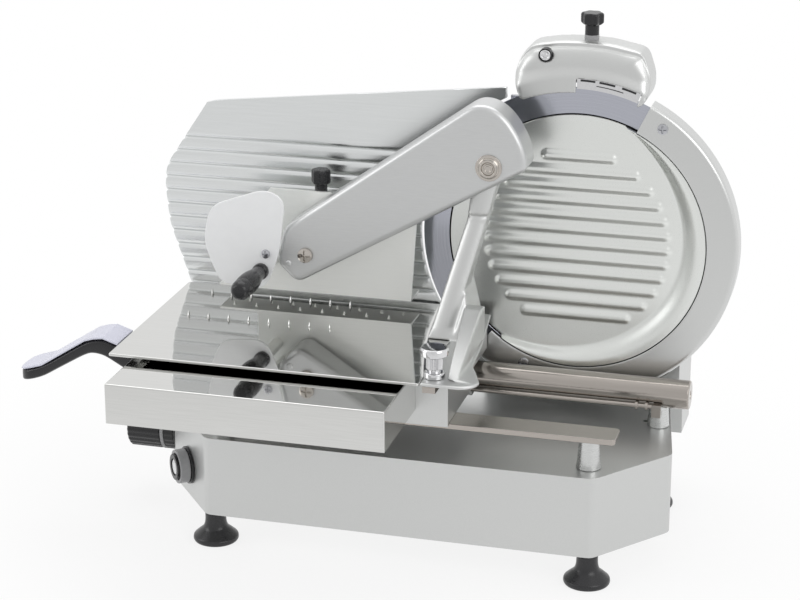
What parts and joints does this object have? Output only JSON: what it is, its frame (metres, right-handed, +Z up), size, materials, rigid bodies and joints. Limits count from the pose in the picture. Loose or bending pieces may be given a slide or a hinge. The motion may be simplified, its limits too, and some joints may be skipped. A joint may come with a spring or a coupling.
{
  "type": "vertical meat slicer",
  "caption": "Vertical meat slicer with a round blade, sliding meat table, spiked clamp arm, ribbed gauge plate and a top-mounted sharpener.",
  "frame": {"origin": "middle of the bounding box's footprint, on the bench", "axes": "+X to the operator's right along the carriage's travel, +Y away from the operator, +Z up"},
  "size_m": [0.7566, 0.4576, 0.5668],
  "materials": {
    "cast_aluminium": "cast, polished and anodised to a soft satin",
    "satin_steel": "satin stainless steel",
    "mirror_steel": "mirror-polished stainless steel",
    "polished_steel": "ground and polished steel bar",
    "bearing_steel": "turned steel",
    "black_plastic": "moulded black plastic, half gloss",
    "grey_plastic": "moulded grey plastic",
    "white_plastic": "smooth white plastic",
    "pale_inlay": "satin pale grey cap",
    "black_rubber": "moulded rubber",
    "grit_stone": "bonded abrasive grit"
  },
  "bodies": {
    "frame": {"base_housing": "cast_aluminium", "bottom_plate": "satin_steel", "foot_1": "black_rubber", "foot_2": "black_rubber", "foot_3": "black_rubber", "foot_4": "black_rubber", "cable_gland": "black_plastic", "switch_bezel": "black_plastic", "switch_collar": "grey_plastic", "round_rail": "polished_steel", "round_rail_post_1": "satin_steel", "round_rail_post_2": "satin_steel", "flat_rail": "polished_steel", "flat_rail_post_1": "satin_steel", "flat_rail_post_2": "satin_steel", "lift_rod": "polished_steel", "head_housing": "cast_aluminium", "rear_cover": "satin_steel", "ring_guard": "cast_aluminium", "cover_plate": "cast_aluminium", "cover_tie_rod": "satin_steel", "hub_bearing_front": "bearing_steel", "hub_bearing_rear": "bearing_steel", "motor_body": "cast_aluminium", "drive_belt": "black_rubber", "sharpener_bracket": "satin_steel", "gauge_guide_shaft": "polished_steel"},
    "blade_unit": {"blade": "mirror_steel", "blade_hub": "bearing_steel", "hub_pulley": "cast_aluminium"},
    "rotor": {"motor_rotor": "bearing_steel"},
    "gauge": {"gauge_plate": "cast_aluminium", "gauge_carrier": "cast_aluminium"},
    "thickness": {"thickness_knob": "black_plastic", "thickness_scale_ring": "grey_plastic", "thickness_spindle": "polished_steel"},
    "switch": {"switch_button": "white_plastic"},
    "sharpener": {"sharpener_housing": "cast_aluminium"},
    "sharpener_screw": {"sharpener_knob": "black_plastic"},
    "grinder": {"grinding_stone": "grit_stone"},
    "honer": {"honing_stone": "grit_stone"},
    "stone_button": {"stone_push_button": "mirror_steel"},
    "carriage": {"carriage_block": "cast_aluminium", "carriage_bush": "white_plastic", "front_shelf": "mirror_steel", "grip_body": "black_plastic", "grip_inlay": "pale_inlay", "cross_slide": "polished_steel"},
    "meat_table": {"meat_plate": "mirror_steel", "column": "cast_aluminium"},
    "table_screw": {"table_lock_knob": "mirror_steel"},
    "arm": {"arm_cover": "cast_aluminium", "pivot_bolt": "satin_steel", "press_screw": "satin_steel"},
    "press": {"press_plate": "satin_steel", "hand_guard": "white_plastic", "press_handle": "black_plastic", "guard_screw": "satin_steel"},
    "press_lock": {"press_lock_knob": "black_plastic"}
  },
  "joints": [
    {"name": "blade_spin", "type": "hinge", "parent": "frame", "child": "blade_unit", "pos_m": [0.20075, 0.1, 0.315], "axis": [0, 1, 0], "continuous": true},
    {"name": "rotor_spin", "type": "hinge", "parent": "frame", "child": "rotor", "pos_m": [0.24475, 0.18, 0.19], "axis": [0, 1, 0], "continuous": true},
    {"name": "gauge_slide", "type": "slide", "parent": "frame", "child": "gauge", "axis": [0, 1, 0], "range_m": [0, 0.016]},
    {"name": "thickness_turn", "type": "hinge", "parent": "frame", "child": "thickness", "pos_m": [-0.27, 0.0142, 0.078], "axis": [1, 0, 0], "range_deg": [0, 300]},
    {"name": "switch_press", "type": "slide", "parent": "frame", "child": "switch", "axis": [0.7869, 0.617, 0], "range_m": [0, 0.003], "stiffness_N_per_m": 400},
    {"name": "sharpener_lift", "type": "slide", "parent": "frame", "child": "sharpener", "axis": [0, 0, 1], "range_m": [0, 0.02]},
    {"name": "sharpener_screw_turn", "type": "hinge", "parent": "sharpener", "child": "sharpener_screw", "pos_m": [0.20775, 0.1062, 0.56], "axis": [0, 0, 1], "range_deg": [0, 360]},
    {"name": "grinder_spin", "type": "hinge", "parent": "sharpener", "child": "grinder", "pos_m": [0.16975, 0.11, 0.497], "axis": [0, 1, 0], "continuous": true},
    {"name": "honer_spin", "type": "hinge", "parent": "sharpener", "child": "honer", "pos_m": [0.23975, 0.11, 0.497], "axis": [0, 1, 0], "continuous": true},
    {"name": "stone_button_press", "type": "slide", "parent": "sharpener", "child": "stone_button", "axis": [0, 1, 0], "range_m": [0, 0.005], "stiffness_N_per_m": 400},
    {"name": "carriage_slide", "type": "slide", "parent": "frame", "child": "carriage", "axis": [1, 0, 0], "range_m": [-0.145, 0.185]},
    {"name": "table_slide", "type": "slide", "parent": "carriage", "child": "meat_table", "axis": [0, 1, 0], "range_m": [-0.15, 0]},
    {"name": "table_screw_turn", "type": "hinge", "parent": "meat_table", "child": "table_screw", "pos_m": [0.09875, -0.1408, 0.25], "axis": [0, 0, 1], "range_deg": [0, 360]},
    {"name": "arm_lift", "type": "hinge", "parent": "meat_table", "child": "arm", "pos_m": [0.11975, 0.02, 0.415], "axis": [0, 1, 0], "range_deg": [0, 60]},
    {"name": "press_tilt", "type": "hinge", "parent": "arm", "child": "press", "pos_m": [-0.08425, 0.02, 0.301], "axis": [0, 1, 0], "range_deg": [-2, 2]},
    {"name": "press_lock_turn", "type": "hinge", "parent": "press", "child": "press_lock", "pos_m": [-0.08225, 0.0582, 0.37], "axis": [0, 0, 1], "range_deg": [0, 360]}
  ],
  "couplings": [
    {"joint": "rotor_spin", "follows": "blade_spin", "ratio": 2.5},
    {"joint": "thickness_turn", "follows": "gauge_slide", "rad_per_m": 327.2}
  ]
}
